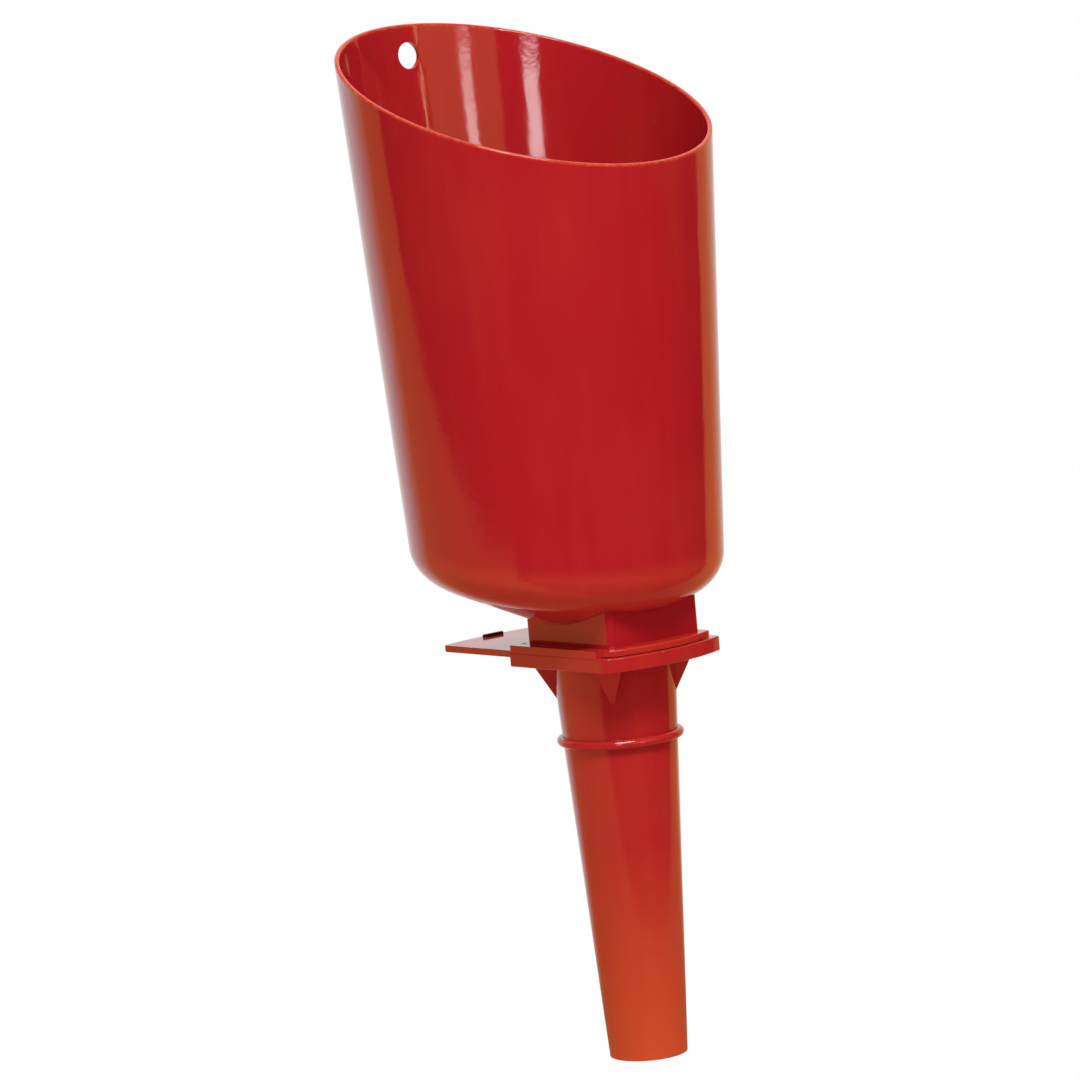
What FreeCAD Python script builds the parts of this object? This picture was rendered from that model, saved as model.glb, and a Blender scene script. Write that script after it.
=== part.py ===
import FreeCAD, Part
import math
import os

# A scoop funnel with a slide gate, moulded in three pieces: the scoop, the gate and the spout.
# Millimetres. The origin is the centre of the spout's open tip. +Z runs up the spout's axis,
# and +X points to the high side of the scoop's slanted mouth, the way the gate is pulled.

# Spout: a tapered tube with a bead round it
TIP_RADIUS = 11.5
TUBE_TAPER = 0.0568         # growth of the radius per millimetre of height
TUBE_WALL = 1.5
BEAD_Z = 95.3
BEAD_HEIGHT = 2.5
BEAD_PROUD = 1.8

# Spout's flange: bowed at its two ends and straight along the gate's travel
FLANGE_Z = 118.2
FLANGE_ENDS_X = (-22.2, 20.4)   # corners at the two ends
FLANGE_HALF_WIDTH = 22.3
FLANGE_CORNERS = (4.0, 1.0)     # rounding at its -X end, on the +Y side and on the -Y side
FLANGE_BULGES = (5.0, 5.0)
FLOOR_Z = 120.1             # the gate slides on this floor
LEDGE_Z = 122.5             # the scoop's flange lies over this ledge
RAIL_TOP_Z = 124.6
RAIL_LEFT_X = -18.6         # where the rail on the +Y side begins
RAIL_RIGHT_X = -8.0         # where the rail on the -Y side begins
STOP_REACH = 3.0            # how far the end stops turn in from the rails
WEB_REACH = 23.5            # corner webs under the flange: radius, depth and half width at the top
WEB_DEPTH = 10.6
WEB_HALF_WIDTH = 4.2
WEB_FOOT_HALF_WIDTH = 0.6
EDGE_ROUND = 0.4

# Gate
GATE_PLAY = 0.15            # under the gate
GATE_THICKNESS = 2.0
GATE_HALF_WIDTH = 19.0
GATE_INNER_X = -19.0
GATE_CORNER_X = 55.6
GATE_BULGE = 2.2            # how far the outer end bows out between its corners
GATE_CORNER_ROUND = 1.5
GATE_TRAVEL = 36.0
RIDGE_X = 55.2              # the finger ridge near the outer end
RIDGE_LENGTH = 7.6
RIDGE_WIDTH = 1.6
RIDGE_HEIGHT = 0.9
PEG_SIZE = 1.2              # stop pegs under the gate, in grooves beside the tube's bore
PEG_Y = 18.2
PEG_DROP = 1.0
PEG_PLAY = 0.2
SIDE_PLAY = 0.3

# Scoop: its flange, square neck, slanted shoulder and cup
SEAT_Z = 122.7              # underside of the scoop's flange
SEAT_THICKNESS = 1.9
SEAT_ENDS_X = (-21.2, 18.4)
SEAT_HALF_WIDTH = 20.0
SEAT_BULGES = (4.6, 0.0)
SEAT_CORNER = 3.0
DOVETAIL = 1.0              # how far the flange's edge leans in over its height
NECK_ENDS_X = (-19.6, 18.1)
NECK_HALF_WIDTH = 17.3
NECK_HEIGHT = 18.0          # from the flange's underside up into the shoulder
NECK_CORNER = 1.6
NECK_INNER_CORNER = 0.6
CUP_X = 16.5                # the cup's axis is offset from the spout's
CUP_RADIUS = 51.3           # outside radius at the height below
CUP_RADIUS_Z = 237.0
CUP_TAPER = 0.0585          # growth of the radius per millimetre of height
FOOT_Z = (137.2, 151.0)     # height of the cup's foot on its low (-X) and high (+X) side
SHOULDER_SLOPE = (0.40, 0.505)  # on the same two sides
SHOULDER_STUB = 0.15        # the shoulder stops at this share of its width, inside the neck
CUP_BLEND = 10.7
WALL = 1.5
RIM_Z = 277.7               # height of the mouth's plane above the spout's axis
RIM_SLOPE = 0.4145
RIM_ROUND = 0.5
HOLE_RADIUS = 4.0
HOLE_Z = 297.8


def vec(x, y, z):
    return FreeCAD.Vector(x, y, z)


def bowed_edge(start, end, bulge):
    """A plate's end: an arc that bows out along X, or a straight line where the bulge is nothing."""
    if bulge == 0:
        return Part.LineSegment(start, end).toShape()
    middle = (start + end) * 0.5 + vec(bulge, 0, 0)
    return Part.Arc(start, middle, end).toShape()


def bowed_plate(ends_x, half_width, bulges, z, height):
    """A flat plate, straight along X, whose two ends can bow outwards."""
    left_x, right_x = ends_x
    right_top = vec(right_x, half_width, z)
    right_low = vec(right_x, -half_width, z)
    left_low = vec(left_x, -half_width, z)
    left_top = vec(left_x, half_width, z)
    outline = Part.Wire([
        bowed_edge(right_top, right_low, bulges[1]),
        Part.LineSegment(right_low, left_low).toShape(),
        bowed_edge(left_low, left_top, -bulges[0]),
        Part.LineSegment(left_top, right_top).toShape(),
    ])
    return Part.Face(outline).extrude(vec(0, 0, height))


def upright_edges(shape):
    """The edges that stand along Z at a plate's corners."""
    return [edge for edge in shape.Edges
            if edge.BoundBox.ZLength > 0.5 and edge.BoundBox.XLength < 0.01 and edge.BoundBox.YLength < 0.01]


def rounded_column(ends_x, half_width, corner, z, height):
    """A square column along Z with rounded vertical corners."""
    block = Part.makeBox(ends_x[1] - ends_x[0], 2 * half_width, height, vec(ends_x[0], -half_width, z))
    return block.makeFillet(corner, upright_edges(block))


def prism_along_x(points, x_from, x_to):
    """Extrude a closed outline, given as (y, z) points, along X."""
    corners = [vec(x_from, y, z) for y, z in points]
    face = Part.Face(Part.makePolygon(corners + corners[:1]))
    return face.extrude(vec(x_to - x_from, 0, 0))


def tube_radius(z):
    return TIP_RADIUS + TUBE_TAPER * z


# Spout

def tube_profile_solid():
    """The tapered tube with its bead, up into the flange, as one turned solid."""
    top = FLOOR_Z
    bead_low = BEAD_Z - BEAD_HEIGHT / 2
    bead_high = BEAD_Z + BEAD_HEIGHT / 2
    bore_low = vec(tube_radius(0) - TUBE_WALL, 0, 0)
    bore_high = vec(tube_radius(top) - TUBE_WALL, 0, top)
    tip_out = vec(tube_radius(0), 0, 0)
    low = vec(tube_radius(bead_low), 0, bead_low)
    crest = vec(tube_radius(BEAD_Z) + BEAD_PROUD, 0, BEAD_Z)
    high = vec(tube_radius(bead_high), 0, bead_high)
    top_out = vec(tube_radius(top), 0, top)
    edges = [
        Part.LineSegment(bore_low, tip_out).toShape(),
        Part.LineSegment(tip_out, low).toShape(),
        Part.Arc(low, crest, high).toShape(),
        Part.LineSegment(high, top_out).toShape(),
        Part.LineSegment(top_out, bore_high).toShape(),
        Part.LineSegment(bore_high, bore_low).toShape(),
    ]
    return Part.Face(Part.Wire(edges)).revolve(vec(0, 0, 0), vec(0, 0, 1), 360)


def tube_bore():
    """The hollow of the tube, from below its tip to above the floor."""
    reach = 1.0
    low = tube_radius(-reach) - TUBE_WALL
    high = tube_radius(FLOOR_Z + reach) - TUBE_WALL
    return Part.makeCone(low, high, FLOOR_Z + 2 * reach, vec(0, 0, -reach))


def corner_web(angle):
    """A wedge under the flange, wide at the top and narrow where it meets the tube."""
    inner = tube_radius(0)
    foot_z = FLANGE_Z - WEB_DEPTH
    foot_reach = tube_radius(foot_z)
    rings = []
    sections = (
        (foot_z, foot_reach, WEB_FOOT_HALF_WIDTH),
        (FLANGE_Z + 0.5, WEB_REACH, WEB_HALF_WIDTH),
    )
    for z, reach, half in sections:
        corners = [vec(inner, -half, z), vec(reach, -half, z), vec(reach, half, z), vec(inner, half, z)]
        rings.append(Part.makePolygon(corners + corners[:1]))
    web = Part.makeLoft(rings, True, True)
    web.rotate(vec(0, 0, 0), vec(0, 0, 1), angle)
    return web


def rail(side, x_from):
    """A raised edge of the flange, whose inner face leans over the scoop's flange."""
    root = LEDGE_Z - 0.2
    inner_low = SEAT_HALF_WIDTH + SIDE_PLAY
    points = [
        (side * inner_low, root),
        (side * FLANGE_HALF_WIDTH, root),
        (side * FLANGE_HALF_WIDTH, RAIL_TOP_Z),
        (side * (inner_low - DOVETAIL), RAIL_TOP_Z),
        (side * inner_low, LEDGE_Z),
    ]
    return prism_along_x(points, x_from, FLANGE_ENDS_X[1] - EDGE_ROUND)


def end_stop(side):
    """The turned-in end of a rail, where the scoop's flange comes to rest."""
    start = SEAT_ENDS_X[1] + SIDE_PLAY
    length = FLANGE_ENDS_X[1] - EDGE_ROUND - start
    near = SEAT_HALF_WIDTH - STOP_REACH
    width = FLANGE_HALF_WIDTH - near
    corner = vec(start, near if side > 0 else -FLANGE_HALF_WIDTH, LEDGE_Z)
    return Part.makeBox(length, width, RAIL_TOP_Z - LEDGE_Z, corner)


def peg_groove(side):
    """The groove in the floor that a stop peg runs in."""
    start = GATE_INNER_X + PEG_SIZE / 2 - PEG_PLAY
    length = PEG_SIZE + GATE_TRAVEL + 2 * PEG_PLAY
    width = PEG_SIZE + 2 * PEG_PLAY
    depth = PEG_DROP + PEG_PLAY
    corner = vec(start, side * PEG_Y - width / 2, FLOOR_Z - depth)
    return Part.makeBox(length, width, depth + 1.0, corner)


def spout_flange():
    """The spout's flange as a plate with every edge eased, and its -X corners rounded."""
    flange = bowed_plate(FLANGE_ENDS_X, FLANGE_HALF_WIDTH, FLANGE_BULGES, FLANGE_Z, LEDGE_Z - FLANGE_Z)
    for side, radius in zip((1, -1), FLANGE_CORNERS):
        corner = [edge for edge in upright_edges(flange)
                  if edge.CenterOfMass.x < 0 and edge.CenterOfMass.y * side > 0]
        flange = flange.makeFillet(radius, corner)
    level_edges = [edge for edge in flange.Edges if edge.BoundBox.ZLength < EDGE_ROUND]
    return flange.makeFillet(EDGE_ROUND, level_edges)


def spout():
    body = spout_flange().fuse([tube_profile_solid()] + [corner_web(angle) for angle in (45, 135, 225, 315)])
    channel_half = GATE_HALF_WIDTH + SIDE_PLAY
    channel_start = GATE_INNER_X - SIDE_PLAY
    channel = Part.makeBox(
        3 * FLANGE_ENDS_X[1], 2 * channel_half, LEDGE_Z - FLOOR_Z + 1,
        vec(channel_start, -channel_half, FLOOR_Z))
    body = body.cut([tube_bore(), channel, peg_groove(1), peg_groove(-1)])
    rails = [rail(1, RAIL_LEFT_X), rail(-1, RAIL_RIGHT_X)]
    return body.fuse(rails + [end_stop(1), end_stop(-1)])


# Gate

def finger_ridge(top):
    """A short bar with rounded edges across the gate, to pull it by."""
    root = top - GATE_THICKNESS / 2
    bar = Part.makeBox(
        RIDGE_WIDTH, RIDGE_LENGTH, top + RIDGE_HEIGHT - root,
        vec(RIDGE_X - RIDGE_WIDTH / 2, -RIDGE_LENGTH / 2, root))
    bar = bar.makeFillet(RIDGE_WIDTH / 2 - 0.1, upright_edges(bar))
    return bar.makeFillet(EDGE_ROUND, [edge for edge in bar.Edges if edge.BoundBox.ZMin > top])


def gate():
    low = FLOOR_Z + GATE_PLAY
    corner_a = vec(GATE_CORNER_X, GATE_HALF_WIDTH, low)
    corner_b = vec(GATE_CORNER_X, -GATE_HALF_WIDTH, low)
    crown = vec(GATE_CORNER_X + GATE_BULGE, 0, low)
    inner_a = vec(GATE_INNER_X, GATE_HALF_WIDTH, low)
    inner_b = vec(GATE_INNER_X, -GATE_HALF_WIDTH, low)
    outline = Part.Wire([
        Part.LineSegment(inner_b, corner_b).toShape(),
        Part.Arc(corner_b, crown, corner_a).toShape(),
        Part.LineSegment(corner_a, inner_a).toShape(),
        Part.LineSegment(inner_a, inner_b).toShape(),
    ])
    plate = Part.Face(outline).extrude(vec(0, 0, GATE_THICKNESS))
    plate = plate.makeFillet(GATE_CORNER_ROUND, upright_edges(plate))
    flat_edges = [edge for edge in plate.Edges if edge.BoundBox.ZLength < 0.01]
    plate = plate.makeFillet(EDGE_ROUND / 2, flat_edges)
    pegs = []
    for side in (1, -1):
        corner = vec(GATE_INNER_X + PEG_SIZE / 2, side * PEG_Y - PEG_SIZE / 2, low - PEG_DROP)
        pegs.append(Part.makeBox(PEG_SIZE, PEG_SIZE, PEG_DROP + GATE_THICKNESS / 2, corner))
    return plate.fuse(pegs + [finger_ridge(low + GATE_THICKNESS)])


# Scoop

def cup_radius(z):
    return CUP_RADIUS + CUP_TAPER * (z - CUP_RADIUS_Z)


def foot_ends():
    """Points where the cup's wall would meet the shoulder, on the low and the high side."""
    low_z, high_z = FOOT_Z
    return vec(CUP_X - cup_radius(low_z), 0, low_z), vec(CUP_X + cup_radius(high_z), 0, high_z)


def shoulder_apex():
    """The point that the slanted shoulder narrows towards."""
    low, high = foot_ends()
    low_slope, high_slope = SHOULDER_SLOPE
    x = (low.z - high.z + low_slope * low.x + high_slope * high.x) / (low_slope + high_slope)
    return vec(x, 0, low.z - low_slope * (x - low.x))


def cup_body(inset, blend, top):
    """The cup and its shoulder as one solid, drawn in by an inset for the inside."""
    low, high = foot_ends()
    tilt = math.atan2(high.z - low.z, high.x - low.x)
    shift = vec(0, 0, inset / math.cos(tilt))
    base_z = SEAT_Z
    bottom_radius = cup_radius(base_z) - inset
    cone = Part.makeCone(
        bottom_radius, bottom_radius + CUP_TAPER * (top - base_z), top - base_z, vec(CUP_X, 0, base_z))
    reach = 100.0
    below = Part.makeBox(4 * reach, 4 * reach, reach, vec(-2 * reach, -2 * reach, -reach))
    below.rotate(vec(0, 0, 0), vec(0, 1, 0), -math.degrees(tilt))
    below.translate(low + shift)
    cup = cone.cut(below)
    foot = min(cup.Faces, key=lambda face: face.CenterOfMass.z)
    apex = shoulder_apex() + shift
    tip = foot.OuterWire.copy()
    tip.scale(SHOULDER_STUB, apex)
    shoulder = Part.makeLoft([foot.OuterWire, tip], True, True)
    whole = cup.fuse(shoulder).removeSplitter()
    seam = min(whole.Edges, key=lambda edge: edge.CenterOfMass.distanceToPoint(foot.CenterOfMass))
    return whole.makeFillet(blend, [seam])


def seat_flange():
    """The thin flange round the neck's foot, with leaning edges that fit the spout's rails."""
    flange = bowed_plate(SEAT_ENDS_X, SEAT_HALF_WIDTH, SEAT_BULGES, SEAT_Z, SEAT_THICKNESS)
    flange = flange.makeFillet(SEAT_CORNER, upright_edges(flange))
    top = SEAT_Z + SEAT_THICKNESS
    rim = [edge for edge in flange.Edges if edge.BoundBox.ZMin > top - 0.01]
    flange = flange.makeFillet(EDGE_ROUND, rim)
    for side in (1, -1):
        wedge = prism_along_x([
            (side * SEAT_HALF_WIDTH, SEAT_Z),
            (side * (SEAT_HALF_WIDTH + 2), SEAT_Z),
            (side * (SEAT_HALF_WIDTH + 2), top),
            (side * (SEAT_HALF_WIDTH - DOVETAIL), top),
        ], 2 * SEAT_ENDS_X[0], 2 * SEAT_ENDS_X[1])
        flange = flange.cut(wedge)
    return flange


def mouth_cutter():
    """Everything above the slanted plane of the scoop's mouth."""
    reach = 120.0
    block = Part.makeBox(4 * reach, 4 * reach, 2 * reach, vec(-2 * reach, -2 * reach, 0))
    block.rotate(vec(0, 0, 0), vec(0, 1, 0), -math.degrees(math.atan(RIM_SLOPE)))
    block.translate(vec(0, 0, RIM_Z))
    return block


def scoop():
    top = RIM_Z + 2 * RIM_SLOPE * CUP_RADIUS
    outside = cup_body(0, CUP_BLEND, top)
    inside = cup_body(WALL, CUP_BLEND - WALL, top + WALL)
    neck = rounded_column(NECK_ENDS_X, NECK_HALF_WIDTH, NECK_CORNER, SEAT_Z, NECK_HEIGHT)
    passage_ends = (NECK_ENDS_X[0] + WALL, NECK_ENDS_X[1] - WALL)
    passage = rounded_column(
        passage_ends, NECK_HALF_WIDTH - WALL, NECK_INNER_CORNER, SEAT_Z - WALL, NECK_HEIGHT)
    solid = outside.fuse([neck, seat_flange()])
    solid = solid.cut([inside, passage])
    solid = solid.cut(mouth_cutter())
    mouth_edges = [edge for edge in solid.Edges
                   if abs(edge.CenterOfMass.z - RIM_Z - RIM_SLOPE * edge.CenterOfMass.x) < 0.1]
    solid = solid.makeFillet(RIM_ROUND, mouth_edges)
    hole = Part.makeCylinder(HOLE_RADIUS, 2 * CUP_RADIUS, vec(CUP_X, 0, HOLE_Z), vec(1, 0, 0))
    return solid.cut(hole)


os.makedirs("parts", exist_ok=True)
for name, shape in (("scoop", scoop()), ("gate", gate()), ("spout", spout())):
    solid = shape.Solids[0]
    print(name, len(shape.Solids), solid.isValid(), round(solid.Volume, 1), solid.optimalBoundingBox(False))
    solid.exportStep("parts/" + name + ".step")
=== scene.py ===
import math

import bpy
from mathutils import Matrix, Vector

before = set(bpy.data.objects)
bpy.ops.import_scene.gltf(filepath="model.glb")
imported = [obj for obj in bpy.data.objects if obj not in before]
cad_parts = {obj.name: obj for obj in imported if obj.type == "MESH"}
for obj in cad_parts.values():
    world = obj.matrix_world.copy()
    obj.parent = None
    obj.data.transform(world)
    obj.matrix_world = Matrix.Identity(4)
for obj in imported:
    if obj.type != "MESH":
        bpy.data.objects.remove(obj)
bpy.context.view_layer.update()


# Materials. Places on the funnel are in metres, in its own frame.

CRIMSON = (0.42, 0.011, 0.016)
ORANGE = (0.60, 0.080, 0.020)
# Near black, for the painted shade on the gate's finger ridge
RIDGE_PAINTED_SHADE = (0.045, 0.012, 0.008)

# Shares of orange in the crimson; the rim's, the shoulder's and the tip's are painted light
SCOOP_WARMTH = 0.02
SHOULDER_PAINTED_REFLECTION = 0.24
RIM_PAINTED_HIGHLIGHT = (0.15, 0.65)       # the rim's painted highlight, speckled between these
GATE_WARMTH = 0.35
TUBE_WARMTH = 0.12
TIP_PAINTED_REFLECTION = 0.88

MOUTH_SLOPE = 0.4145            # rise of the slanted mouth per metre of X
RIM_FADE = (0.2768, 0.2773)     # heights at X = 0 between which the rim's painted highlight sets in
SHOULDER_TILT = 0.147           # rise of the cup's foot per metre of X
SHOULDER_FADE = (0.1525, 0.1490)
NECK_X = (-0.0200, 0.0185)
NECK_Y = (-0.0177, 0.0177)
TIP_FADE = (0.0, 0.065)
RIDGE_X = (0.0541, 0.0563)      # the gate's finger ridge
RIDGE_Y = (-0.0042, 0.0042)
RIDGE_FADE = (0.1222, 0.1225)

PLASTIC_IOR = 1.49
SUBSURFACE_SHARE = 0.08
SUBSURFACE_REACH = (0.004, 0.0008, 0.0005)


class Shader:
    """A Principled material, with small helpers for its node tree."""

    def __init__(self, name):
        self.material = bpy.data.materials.new(name)
        self.material.use_nodes = True
        self.tree = self.material.node_tree
        self.tree.nodes.clear()
        self.principled = self.add("ShaderNodeBsdfPrincipled")
        output = self.add("ShaderNodeOutputMaterial")
        self.link(self.principled.outputs["BSDF"], output.inputs["Surface"])
        self.place = self.add("ShaderNodeTexCoord").outputs["Object"]

    def add(self, kind, **settings):
        node = self.tree.nodes.new(kind)
        for key, value in settings.items():
            setattr(node, key, value)
        return node

    def link(self, source, target):
        self.tree.links.new(source, target)

    def noise(self, scale, detail=2.0, roughness=0.5, stretch=(1, 1, 1)):
        """Noise in the object's own space, in metres, stretched along an axis where that is over one."""
        mapping = self.add("ShaderNodeMapping")
        mapping.inputs["Scale"].default_value = tuple(1 / factor for factor in stretch)
        self.link(self.place, mapping.inputs["Vector"])
        node = self.add("ShaderNodeTexNoise")
        node.inputs["Scale"].default_value = scale
        node.inputs["Detail"].default_value = detail
        node.inputs["Roughness"].default_value = roughness
        self.link(mapping.outputs["Vector"], node.inputs["Vector"])
        return node.outputs["Fac"]

    def remap(self, value, low, high, to_low, to_high):
        node = self.add("ShaderNodeMapRange")
        node.inputs["From Min"].default_value = low
        node.inputs["From Max"].default_value = high
        node.inputs["To Min"].default_value = to_low
        node.inputs["To Max"].default_value = to_high
        self.link(value, node.inputs["Value"])
        return node.outputs["Result"]

    def calc(self, operation, *values):
        """A Math node, whose values are numbers or sockets."""
        node = self.add("ShaderNodeMath", operation=operation)
        for socket, value in zip(node.inputs, values):
            if isinstance(value, (int, float)):
                socket.default_value = value
            else:
                self.link(value, socket)
        return node.outputs["Value"]

    def mix(self, factor, first, second):
        node = self.add("ShaderNodeMix", data_type="RGBA")
        for index, value in ((0, factor), (6, first), (7, second)):
            if isinstance(value, tuple):
                node.inputs[index].default_value = value + (1.0,)
            elif isinstance(value, (int, float)):
                node.inputs[index].default_value = value
            else:
                self.link(value, node.inputs[index])
        return node.outputs[2]

    def axis(self, name):
        if not hasattr(self, "split"):
            self.split = self.add("ShaderNodeSeparateXYZ")
            self.link(self.place, self.split.inputs["Vector"])
        return self.split.outputs[name]

    def within(self, name, span, edge):
        """One where the object's coordinate lies in a span, with soft edges."""
        low, high = span
        rise = self.remap(self.axis(name), low - edge, low, 0, 1)
        fall = self.remap(self.axis(name), high, high + edge, 1, 0)
        return self.calc("MULTIPLY", rise, fall)

    def level(self, slope):
        """Height above a plane that passes through the origin and rises along X."""
        return self.calc("SUBTRACT", self.axis("Z"), self.calc("MULTIPLY", self.axis("X"), slope))


def gloss_plastic(name, orange_share_and_painted_light):
    """Glossy moulded plastic: cloudy colour, faint flow lines, fine scuffs, a slight ripple and orange peel.

    The second argument is given the shader, and returns the share of orange, with any painted light in it, as a
    number or a socket.
    """
    shader = Shader(name)
    cloud = shader.remap(shader.noise(14, 3), 0.35, 0.65, -0.05, 0.05)
    flow = shader.remap(shader.noise(120, 4, 0.6, (1, 1, 9)), 0.3, 0.7, -0.05, 0.05)
    share = shader.calc("ADD", shader.calc("ADD", cloud, flow), orange_share_and_painted_light(shader))
    clamp = shader.add("ShaderNodeClamp")
    shader.link(share, clamp.inputs["Value"])
    shader.colour = shader.mix(clamp.outputs["Result"], CRIMSON, ORANGE)
    shader.link(shader.colour, shader.principled.inputs["Base Color"])

    haze = shader.remap(shader.noise(45, 4, 0.6), 0.35, 0.7, 0.06, 0.11)
    scuffs = shader.remap(shader.noise(900, 3, 0.7, (1, 1, 14)), 0.62, 0.78, 0.0, 0.08)
    shader.link(shader.calc("ADD", haze, scuffs), shader.principled.inputs["Roughness"])

    ripple = shader.noise(60, 2, 0.5, (1, 1, 1.6))
    peel = shader.noise(650, 2)
    grain = shader.noise(2400, 2)
    height = shader.calc("ADD", ripple, shader.calc("MULTIPLY", peel, 0.10))
    height = shader.calc("ADD", height, shader.calc("MULTIPLY", grain, 0.02))
    bump = shader.add("ShaderNodeBump")
    bump.inputs["Strength"].default_value = 0.28
    bump.inputs["Distance"].default_value = 0.0006
    shader.link(height, bump.inputs["Height"])
    shader.link(bump.outputs["Normal"], shader.principled.inputs["Normal"])

    shader.principled.inputs["IOR"].default_value = PLASTIC_IOR
    shader.principled.inputs["Subsurface Weight"].default_value = SUBSURFACE_SHARE
    shader.principled.inputs["Subsurface Radius"].default_value = SUBSURFACE_REACH
    shader.principled.inputs["Subsurface Scale"].default_value = 1.0
    return shader


def scoop_tone_and_painted_light(shader):
    """Painted light makes the scoop more orange: a speckled painted highlight along its thin rim, and a painted
    warm reflection of the table on its shoulder, but not on the neck.
    """
    speckle = shader.remap(shader.noise(700, 2), 0.35, 0.65, *RIM_PAINTED_HIGHLIGHT)
    rim = shader.calc("MULTIPLY", shader.remap(shader.level(MOUTH_SLOPE), *RIM_FADE, 0, 1), speckle)
    shoulder = shader.remap(shader.level(SHOULDER_TILT), *SHOULDER_FADE, SCOOP_WARMTH, SHOULDER_PAINTED_REFLECTION)
    neck = shader.calc("MULTIPLY", shader.within("X", NECK_X, 0.0015), shader.within("Y", NECK_Y, 0.0015))
    shoulder = shader.calc("MULTIPLY", shoulder, shader.calc("SUBTRACT", 1.0, neck))
    return shader.calc("ADD", rim, shoulder)


def spout_tone_and_painted_reflection(shader):
    """The spout's tube turns more orange towards its thin tip, a painted warm reflection of the table under it.
    """
    return shader.remap(shader.axis("Z"), *TIP_FADE, TIP_PAINTED_REFLECTION, TUBE_WARMTH)


def gate_warmth(shader):
    return GATE_WARMTH


def paint_ridge_shade(shader):
    """Painted shade: the gate's finger ridge, where it stands above the plate, is painted near black."""
    across = shader.calc("MULTIPLY", shader.within("X", RIDGE_X, 0.0002), shader.within("Y", RIDGE_Y, 0.0004))
    ridge = shader.calc("MULTIPLY", across, shader.remap(shader.axis("Z"), *RIDGE_FADE, 0, 1))
    shader.link(shader.mix(ridge, shader.colour, RIDGE_PAINTED_SHADE), shader.principled.inputs["Base Color"])


scoop_look = gloss_plastic("scoop_plastic", scoop_tone_and_painted_light)
gate_look = gloss_plastic("gate_plastic", gate_warmth)
spout_look = gloss_plastic("spout_plastic", spout_tone_and_painted_reflection)
paint_ridge_shade(gate_look)

for node, look in (("scoop", scoop_look), ("gate", gate_look), ("spout", spout_look)):
    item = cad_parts[node]
    item.data.materials.clear()
    item.data.materials.append(look.material)


# Stage: a pale floor that curves up into a backdrop behind the funnel

FLOOR_DROP = 0.0005             # the floor lies this far under the tip
FLOOR_RADIUS = 2.6
FLOOR_CURL = 0.9
WALL_TOP = 2.2
SEGMENTS = 96
CURL_STEPS = 12

NEAR_AZIMUTH = 140.0            # the way from the funnel to the camera, in degrees from +X
PAPER = (1.0, 1.0, 1.0)         # the floor as the camera sees it
TABLE = (0.85, 0.42, 0.11)      # the floor in the funnel's gloss
TABLE_SHADED = (0.38, 0.19, 0.08)
PALE_BEHIND = (0.95, 0.95, 0.95)
DARK_BEYOND = (0.01, 0.01, 0.01)
AMBIENT_NEAR = (0.85, 0.74, 0.70)   # the floor's soft light, from under the funnel and from further off
AMBIENT_FAR = (0.52, 0.48, 0.46)


def turned(distance, azimuth, z):
    """A point at a distance from the funnel's axis, at an azimuth in degrees from +X."""
    angle = math.radians(azimuth)
    return Vector((distance * math.cos(angle), distance * math.sin(angle), z))


def along(shader, azimuth):
    """How far a point lies along an azimuth."""
    angle = math.radians(azimuth)
    return shader.calc(
        "ADD",
        shader.calc("MULTIPLY", shader.axis("X"), math.cos(angle)),
        shader.calc("MULTIPLY", shader.axis("Y"), math.sin(angle)))


def backdrop_look(name):
    """White to the eye, a soft light to the matt colours, and in the gloss a warm table top.

    The table turns pale in a wedge behind the funnel, and ends in the dark on the camera's side.
    """
    shader = Shader(name)
    near = along(shader, NEAR_AZIMUTH)
    left = along(shader, NEAR_AZIMUTH - 90)
    length = shader.add("ShaderNodeVectorMath", operation="LENGTH")
    shader.link(shader.place, length.inputs[0])
    distance = length.outputs["Value"]

    front_edge = shader.remap(near, 0.52, 0.56, 0, 1)
    left_edge = shader.remap(shader.calc("ADD", near, shader.calc("MULTIPLY", left, 0.68)), 0.83, 0.88, 0, 1)
    right_edge = shader.remap(
        shader.calc("SUBTRACT", shader.calc("MULTIPLY", near, 1.17), left), 0.16, 0.22, 0, 1)
    beyond = shader.calc("MAXIMUM", front_edge, shader.calc("MAXIMUM", left_edge, right_edge))
    behind = shader.calc("MAXIMUM", shader.calc("MULTIPLY", near, -1.0), 0.02)
    aside = shader.calc("ABSOLUTE", shader.calc("SUBTRACT", shader.calc("DIVIDE", left, behind), 0.42))
    wedge = shader.calc("MULTIPLY", shader.remap(aside, 1.25, 0.40, 0, 1), shader.remap(near, -0.05, -0.25, 0, 1))

    table = shader.mix(shader.remap(distance, 0.12, 0.32, 0, 1), TABLE_SHADED, TABLE)
    mirrored = shader.mix(beyond, shader.mix(wedge, table, PALE_BEHIND), DARK_BEYOND)
    ambient = shader.mix(shader.remap(distance, 0.3, 1.3, 0, 1), AMBIENT_NEAR, AMBIENT_FAR)
    rays = shader.add("ShaderNodeLightPath")
    colour = shader.mix(rays.outputs["Is Glossy Ray"], ambient, mirrored)
    colour = shader.mix(rays.outputs["Is Camera Ray"], colour, PAPER)
    glow = shader.add("ShaderNodeEmission")
    shader.link(colour, glow.inputs["Color"])
    output = next(node for node in shader.tree.nodes if node.type == "OUTPUT_MATERIAL")
    shader.link(glow.outputs["Emission"], output.inputs["Surface"])
    return shader.material


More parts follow.
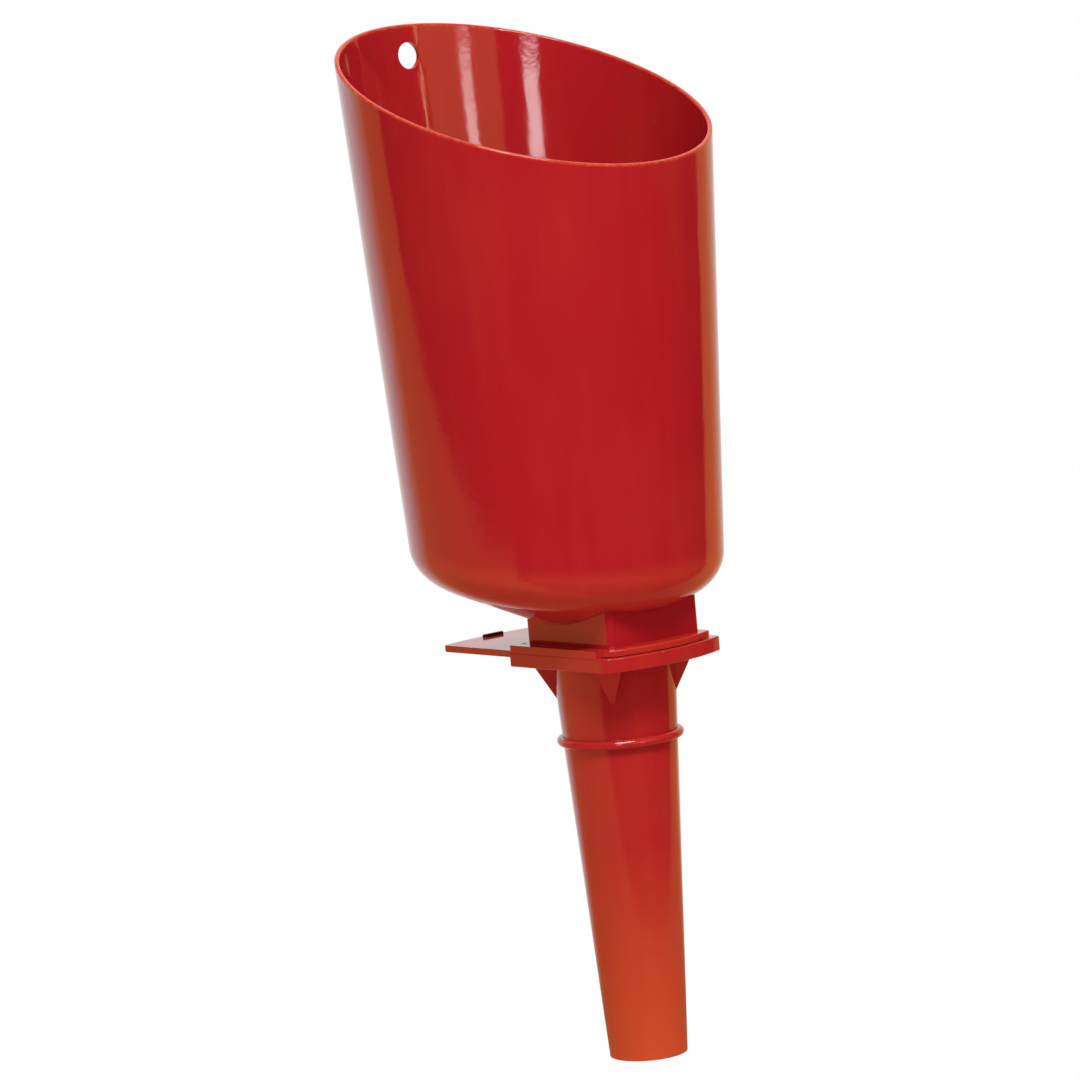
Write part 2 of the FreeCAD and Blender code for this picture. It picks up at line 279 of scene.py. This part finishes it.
def sweep(name):
    """A round floor with its rim curled up into a wall."""
    flat = FLOOR_RADIUS - FLOOR_CURL
    rings = [(0.0, 0.0), (flat, 0.0)]
    for step in range(1, CURL_STEPS + 1):
        angle = math.radians(90 * step / CURL_STEPS)
        rings.append((flat + FLOOR_CURL * math.sin(angle), FLOOR_CURL - FLOOR_CURL * math.cos(angle)))
    rings.append((FLOOR_RADIUS, WALL_TOP))
    points = [turned(reach, 360 * index / SEGMENTS, z) for reach, z in rings for index in range(SEGMENTS)]
    faces = []
    for start in range(0, (len(rings) - 1) * SEGMENTS, SEGMENTS):
        for index in range(SEGMENTS):
            here = start + index
            following = start + (index + 1) % SEGMENTS
            faces.append((here, following, following + SEGMENTS, here + SEGMENTS))
    mesh = bpy.data.meshes.new(name)
    mesh.from_pydata(points, [], faces)
    mesh.polygons.foreach_set("use_smooth", [True] * len(faces))
    item = bpy.data.objects.new(name, mesh)
    bpy.context.scene.collection.objects.link(item)
    return item


floor = sweep("floor")
floor.location.z = -FLOOR_DROP
floor.data.materials.append(backdrop_look("pale_floor"))

world = bpy.data.worlds.new("studio")
world.use_nodes = True
sky = world.node_tree.nodes["Background"]
sky.inputs["Color"].default_value = (1.0, 1.0, 1.0, 1.0)
sky.inputs["Strength"].default_value = 0.25
bpy.context.scene.world = world
bpy.context.scene.view_settings.view_transform = "Standard"


# Lights

WHITE = (1.0, 1.0, 1.0)
YELLOW = (1.0, 0.75, 0.4)
AMBER = (1.0, 0.72, 0.25)
MIDDLE = Vector((0.0, 0.0, 0.17))       # every light is aimed at the middle of the funnel


def softbox(name, centre, width, height, power, colour=WHITE):
    data = bpy.data.lights.new(name, "AREA")
    data.shape = "RECTANGLE"
    data.size = width
    data.size_y = height
    data.energy = power
    data.color = colour
    item = bpy.data.objects.new(name, data)
    item.location = centre
    item.rotation_euler = (MIDDLE - centre).to_track_quat("-Z", "Y").to_euler()
    bpy.context.scene.collection.objects.link(item)
    return item


softbox("key", turned(1.1, 150, 1.75), 0.9, 0.5, 38)
softbox("fill", turned(1.2, 330, 1.6), 0.9, 0.5, 16).visible_glossy = False

# These show only in the gloss, as the streaks inside the cup.
for reflected in (
        softbox("strip_near", turned(1.5, 136, 0.32), 0.24, 0.28, 2.2),
        softbox("strip_side", turned(1.5, 178.5, 0.32), 0.17, 0.28, 1.12),
        softbox("strip_thin", turned(1.5, 211, 0.32), 0.015, 0.28, 0.224, YELLOW),
        softbox("warm_card", turned(1.9, 182, 0.85), 1.9, 1.2, 7.5, AMBER)):
    reflected.visible_diffuse = False


# Camera at the photograph's angle

CAMERA_PLACE = Vector((-1.05267, 0.88807, 0.31814))
CAMERA_LENS = 158.25
LOOK_AZIMUTH = -39.39           # degrees from +X
LOOK_ELEVATION = -6.76
CAMERA_ROLL = -5.227

camera_data = bpy.data.cameras.new("camera")
camera_data.lens = CAMERA_LENS
camera_data.sensor_width = 36.0
camera_data.clip_start = 0.05
camera = bpy.data.objects.new("camera", camera_data)
bpy.context.scene.collection.objects.link(camera)
elevation = math.radians(LOOK_ELEVATION)
forward = turned(math.cos(elevation), LOOK_AZIMUTH, math.sin(elevation))
level = forward.to_track_quat("-Z", "Y").to_matrix().to_4x4()
roll = Matrix.Rotation(math.radians(CAMERA_ROLL), 4, "Z")
camera.matrix_world = Matrix.Translation(CAMERA_PLACE) @ level @ roll
bpy.context.scene.camera = camera
